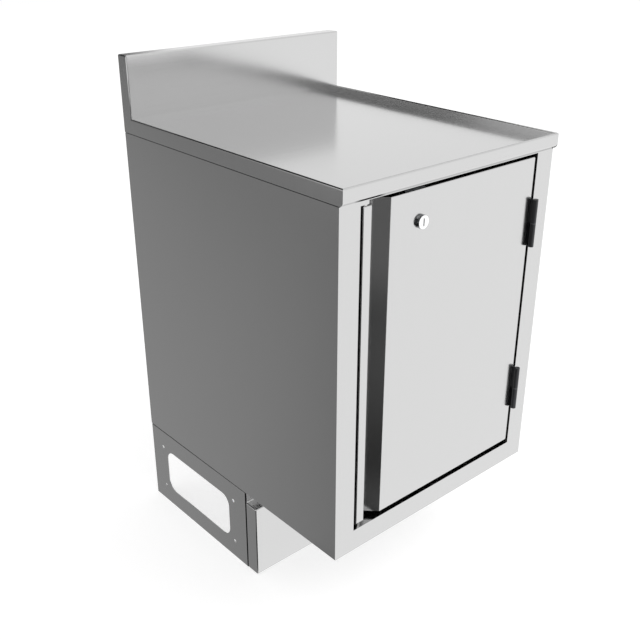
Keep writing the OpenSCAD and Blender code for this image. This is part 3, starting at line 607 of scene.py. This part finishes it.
def card_material(name, direction, tones, rise=0.0):
    """A studio card whose glow follows (place, glow) pairs along a direction, and rises with x."""
    material, tree = new_material(name)
    where = add(tree, "ShaderNodeTexCoord").outputs["Object"]
    along = add(
        tree, "ShaderNodeVectorMath", operation="DOT_PRODUCT", links={0: where}, values={1: direction}
    ).outputs["Value"]
    first, last = tones[0][0], tones[-1][0]
    share = add(
        tree, "ShaderNodeMapRange", links={"Value": along}, values={"From Min": first, "From Max": last}
    )
    steps = add(tree, "ShaderNodeValToRGB", links={"Fac": share.outputs["Result"]})
    stops = steps.color_ramp.elements
    while len(stops) < len(tones):
        stops.new(0.5)
    for stop, (place, glow) in zip(stops, tones):
        stop.position = (place - first) / (last - first)
        stop.color = (glow, glow, glow, 1)
    x = add(tree, "ShaderNodeSeparateXYZ", links={"Vector": where}).outputs["X"]
    glow = add(
        tree, "ShaderNodeMath", operation="MULTIPLY_ADD", use_clamp=True,
        links={0: x, 2: steps.outputs["Color"]}, values={1: rise},
    )
    finish_material(tree, add(tree, "ShaderNodeEmission", links={"Strength": glow.outputs[0]}))
    return material


def card(name, corners, material):
    """A card that only reflections see."""
    piece = plane(name, corners, material)
    piece.visible_camera = False
    piece.visible_diffuse = False
    piece.visible_shadow = False
    piece.visible_transmission = False
    piece.visible_volume_scatter = False


def flat_corners(left, right, front, back, height):
    return [(left, front, height), (right, front, height), (right, back, height), (left, back, height)]


def wall_corners(x, front, back, low, high):
    return [(x, front, low), (x, back, low), (x, back, high), (x, front, high)]


make_world()
plane(
    "studio_floor", flat_corners(-FLOOR_REACH, FLOOR_REACH, -FLOOR_REACH, FLOOR_REACH, 0), floor_material()
)

# Dark cards, places in metres, which give the stainless its grey side and dark folds: on the floor to
# the left, up a wall beyond it, overhead and behind
CARD_X = -0.2287
NEAR_X = -0.335
FAR_X = -2.1
WALL_X = -3.0
NEAR_FRONT_Y, NEAR_BACK_Y = -0.45, -0.065
CORNER_X, CORNER_BACK_Y = -0.45, -0.15
FLOOR_CARD_Y = 6
FLOOR_CARD_Z = 0.001
NEAR_CARD_Z = 0.002
WALL_FRONT_Y, WALL_BACK_Y = -4, 9
WALL_TOP_Z = 2.0
CEILING_Z = 3.0
CEILING_X = 1.2
CEILING_FRONT_Y = 1.5
BEHIND_X = 3.5
BEHIND_Y = 6
BEHIND_LOW_Z, BEHIND_HIGH_Z = 0.9, 2.5
DARKEST = 0.02
ALONG_X = (1.0, 0.0, 0.0)
ALONG_Y = (0.0, 1.0, 0.0)
# Runs of equal glow on the near floor lie across this direction
OFF_THE_CORNER = (0.7, 1.0, 0.0)

floor_card = card_material(
    "dark_card_floor", OFF_THE_CORNER,
    [
        (-2.2, 0.28), (-1.85, 0.15), (-1.5, 0.17), (-1.16, 0.125), (-0.87, 0.075), (-0.66, 0.14),
        (-0.35, 0.3), (-0.19, 0.334), (-0.02, 0.364), (0.25, 0.389), (1.75, 0.467),
    ],
    rise=0.1,
)
wall_card = card_material(
    "dark_card_wall", ALONG_Y,
    [
        (-4.0, 0.62), (-3.2, 0.62), (-2.9, 0.35), (-2.56, 0.52), (-2.17, 1.0), (-1.8, 0.5), (0.8, 1.0),
        (2.03, 1.0), (2.33, 0.8), (2.62, 0.57), (2.98, 0.36), (3.66, 0.28), (4.0, 0.15), (9.0, 0.12),
    ],
)
far_card = card_material(
    "dark_card_floor_far", ALONG_Y,
    [
        (-2.0, 0.25), (0.6, 0.95), (1.3, 0.9), (1.63, 0.67), (1.9, 0.49), (2.15, 0.37), (2.47, 0.24),
        (2.8, 0.19), (3.06, 0.24), (6.0, 0.3),
    ],
)
dark_card = card_material("dark_card_above", ALONG_Y, [(-2.0, DARKEST), (9.0, DARKEST)])
back_card = card_material("dark_card_behind", ALONG_X, [(-3.0, 0.15), (3.0, 0.15), (3.5, 1.0)])

card("card_floor_near", flat_corners(NEAR_X, CARD_X, NEAR_FRONT_Y, NEAR_BACK_Y, NEAR_CARD_Z), dark_card)
card(
    "card_floor_by_corner", flat_corners(CORNER_X, NEAR_X, NEAR_FRONT_Y, CORNER_BACK_Y, NEAR_CARD_Z),
    dark_card,
)
card("card_floor_left", flat_corners(FAR_X, CARD_X, -FLOOR_CARD_Y, FLOOR_CARD_Y, FLOOR_CARD_Z), floor_card)
card("card_floor_far", flat_corners(WALL_X, FAR_X, -FLOOR_CARD_Y, FLOOR_CARD_Y, FLOOR_CARD_Z), far_card)
card("card_wall_left", wall_corners(WALL_X, WALL_FRONT_Y, WALL_BACK_Y, 0, WALL_TOP_Z), wall_card)
card("card_wall_upper", wall_corners(WALL_X, WALL_FRONT_Y, WALL_BACK_Y, WALL_TOP_Z, CEILING_Z), dark_card)
card("card_ceiling", flat_corners(WALL_X, CEILING_X, CEILING_FRONT_Y, WALL_BACK_Y, CEILING_Z), dark_card)
card(
    "card_behind",
    [
        (WALL_X, BEHIND_Y, BEHIND_LOW_Z), (BEHIND_X, BEHIND_Y, BEHIND_LOW_Z),
        (BEHIND_X, BEHIND_Y, BEHIND_HIGH_Z), (WALL_X, BEHIND_Y, BEHIND_HIGH_Z),
    ],
    back_card,
)


def soft_lamp(name, place, target, size, power):
    lamp = bpy.data.lights.new(name, "AREA")
    lamp.shape = "SQUARE"
    lamp.size = size
    lamp.energy = power
    lamp_object = bpy.data.objects.new(name, lamp)
    bpy.context.scene.collection.objects.link(lamp_object)
    lamp_object.location = place
    direction = Vector(target) - Vector(place)
    lamp_object.rotation_mode = "QUATERNION"
    lamp_object.rotation_quaternion = direction.to_track_quat("-Z", "Y")
    lamp_object.visible_glossy = False


soft_lamp("key_lamp", place=(1.6, -2.2, 3.0), target=(0, 0, 0.4), size=2.5, power=40)

# Camera at the photograph's place: 41.3 degrees round to the left and 25.3 degrees up
CAMERA_PLACE = (-963.92 * MM, -1060.88 * MM, 1085.80 * MM)
CAMERA_TURN, CAMERA_TILT, CAMERA_ROLL = 41.267, 25.284, -0.121
LENS_MM, SENSOR_MM = 50.256, 36.0
camera_data = bpy.data.cameras.new("photo_camera")
camera_data.lens = LENS_MM
camera_data.sensor_width = SENSOR_MM
camera = bpy.data.objects.new("photo_camera", camera_data)
bpy.context.scene.collection.objects.link(camera)
camera.location = CAMERA_PLACE
camera.rotation_euler = [math.radians(turn) for turn in (90 - CAMERA_TILT, CAMERA_ROLL, -CAMERA_TURN)]
bpy.context.scene.camera = camera

bpy.context.scene.view_settings.view_transform = "Standard"
